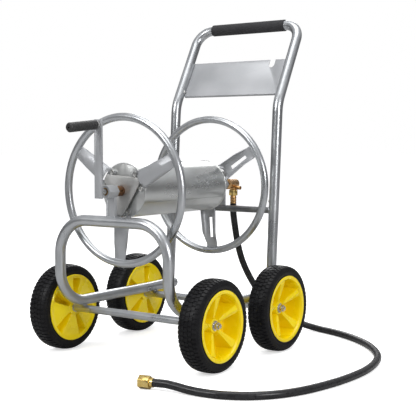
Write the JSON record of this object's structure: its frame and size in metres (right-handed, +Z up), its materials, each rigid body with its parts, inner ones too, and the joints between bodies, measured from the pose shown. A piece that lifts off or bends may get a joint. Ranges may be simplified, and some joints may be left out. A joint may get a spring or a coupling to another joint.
{
  "type": "garden hose reel cart",
  "caption": "Four-wheeled garden hose reel cart: bent-tube frame with push handle, crank-wound open-ring reel, water swivel and leader hose.",
  "frame": {"origin": "middle of the cart's footprint box at ground level, measured without the leader hose", "axes": "+X along the wheel axles to the right as seen from the crank end, +Y from the crank end to the push handle, +Z up"},
  "size_m": [0.933, 0.9277, 1.011],
  "materials": {
    "frame_steel": "silver-grey enamel on steel tube, satin",
    "plate_steel": "silver-grey enamel on sheet steel, satin",
    "crossbar_steel": "dark grey enamel, satin",
    "zinc": "bright zinc plate",
    "drum_steel": "galvanised sheet, rolled",
    "shaft_steel": "bright drawn bar",
    "bush_bronze": "oiled sintered bronze",
    "collar_bronze": "dull turned bronze",
    "swivel_brass": "cast brass, turned faces",
    "nut_brass": "bright machined brass",
    "foam": "closed-cell foam, matt",
    "grip_rubber": "moulded rubber, ribbed",
    "hose_rubber": "smooth black rubber hose",
    "seal_rubber": "soft black rubber",
    "tyre_rubber": "semi-pneumatic rubber, moulded blocks",
    "rim_plastic": "bright yellow moulded plastic"
  },
  "bodies": {
    "root": {"base_frame": "frame_steel", "front_axle_tube": "frame_steel", "rear_axle_tube": "frame_steel", "left_rear_post": "frame_steel", "right_rear_post": "frame_steel", "rear_crossbar": "crossbar_steel", "left_upright": "frame_steel", "right_upright": "frame_steel", "handle_bar": "frame_steel", "nozzle_plate": "plate_steel", "handle_grip": "foam", "joint_screws": "zinc", "front_bearing_post": "frame_steel", "rear_bearing_post": "frame_steel", "front_bush": "bush_bronze", "rear_bush": "bush_bronze", "axle_sleeves": "zinc", "front_axle": "zinc", "rear_axle": "zinc", "axle_washers": "zinc", "axle_nuts": "zinc", "swivel_elbow": "swivel_brass", "swivel_seal": "seal_rubber", "inlet_nut": "nut_brass", "inlet_ferrule": "swivel_brass", "inlet_hose": "hose_rubber", "hose_tail": "nut_brass", "coupling_washer": "seal_rubber"},
    "reel": {"drum_shell": "drum_steel", "front_drum_end": "drum_steel", "rear_drum_end": "drum_steel", "front_hub_plate": "frame_steel", "rear_hub_plate": "frame_steel", "front_ring": "frame_steel", "rear_ring": "frame_steel", "front_spoke_1": "frame_steel", "front_spoke_2": "frame_steel", "front_spoke_3": "frame_steel", "rear_spoke_1": "frame_steel", "rear_spoke_2": "frame_steel", "rear_spoke_3": "frame_steel", "spoke_bolts": "zinc", "reel_shaft": "shaft_steel", "shaft_collar": "collar_bronze", "water_pipe": "swivel_brass", "outlet_fitting": "nut_brass", "crank_arm": "frame_steel", "crank_pin": "zinc", "crank_pin_nut": "zinc"},
    "crank_grip": {"crank_grip": "grip_rubber"},
    "coupling_nut": {"coupling_nut": "nut_brass"},
    "front_right_wheel": {"rim_front_right": "rim_plastic", "tyre_front_right": "tyre_rubber"},
    "rear_right_wheel": {"rim_rear_right": "rim_plastic", "tyre_rear_right": "tyre_rubber"},
    "front_left_wheel": {"rim_front_left": "rim_plastic", "tyre_front_left": "tyre_rubber"},
    "rear_left_wheel": {"rim_rear_left": "rim_plastic", "tyre_rear_left": "tyre_rubber"}
  },
  "joints": [
    {"name": "reel_spin", "type": "hinge", "parent": "root", "child": "reel", "pos_m": [0, -0.01477, 0.4845], "axis": [0, 1, 0], "continuous": true},
    {"name": "crank_grip_spin", "type": "hinge", "parent": "reel", "child": "crank_grip", "pos_m": [0, -0.32727, 0.6665], "axis": [0, -0.9962, -0.0872], "continuous": true},
    {"name": "coupling_nut_spin", "type": "hinge", "parent": "root", "child": "coupling_nut", "pos_m": [0.254, -0.41227, 0.0182], "axis": [-0.9701, -0.2425, 0], "continuous": true},
    {"name": "front_right_wheel_spin", "type": "hinge", "parent": "root", "child": "front_right_wheel", "pos_m": [0.27, -0.17227, 0.127], "axis": [1, 0, 0], "continuous": true},
    {"name": "rear_right_wheel_spin", "type": "hinge", "parent": "root", "child": "rear_right_wheel", "pos_m": [0.27, 0.16573, 0.127], "axis": [1, 0, 0], "continuous": true},
    {"name": "front_left_wheel_spin", "type": "hinge", "parent": "root", "child": "front_left_wheel", "pos_m": [-0.27, -0.17227, 0.127], "axis": [1, 0, 0], "continuous": true},
    {"name": "rear_left_wheel_spin", "type": "hinge", "parent": "root", "child": "rear_left_wheel", "pos_m": [-0.27, 0.16573, 0.127], "axis": [1, 0, 0], "continuous": true}
  ]
}
